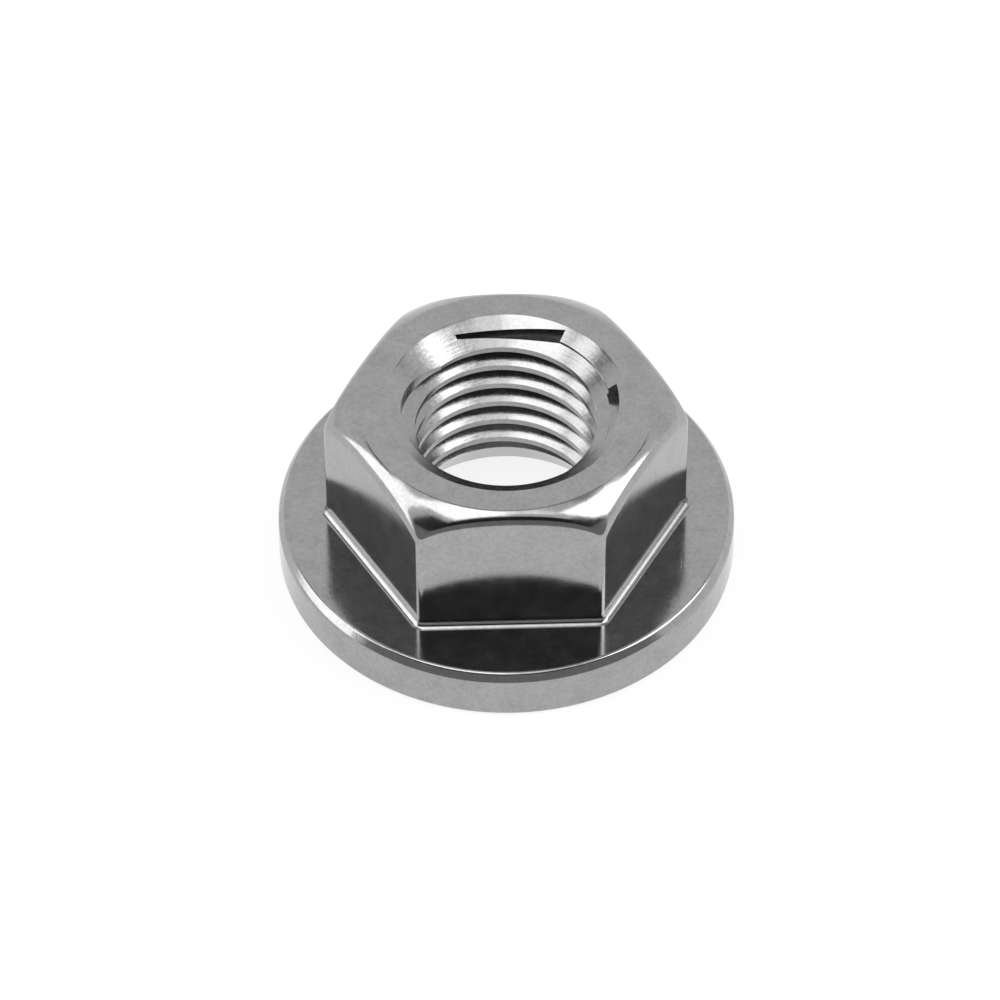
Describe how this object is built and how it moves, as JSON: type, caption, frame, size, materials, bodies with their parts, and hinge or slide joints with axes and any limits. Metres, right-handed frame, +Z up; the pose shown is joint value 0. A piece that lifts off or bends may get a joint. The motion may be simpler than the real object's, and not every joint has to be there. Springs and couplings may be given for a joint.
{
  "type": "flange nut",
  "caption": "Hexagon nut with a wide round flange, a chamfered crown and a threaded through hole, in bright metal.",
  "frame": {"origin": "centre of the bearing face, on the thread's axis", "axes": "+Z up the thread's axis, from the bearing face to the top face; two of the hexagon's corners lie on X"},
  "size_m": [0.0218, 0.0218, 0.0099],
  "materials": {
    "bright_metal": "smooth bright metal with fine handling marks"
  },
  "bodies": {
    "root": {"flange_nut": "bright_metal"}
  },
  "joints": []
}
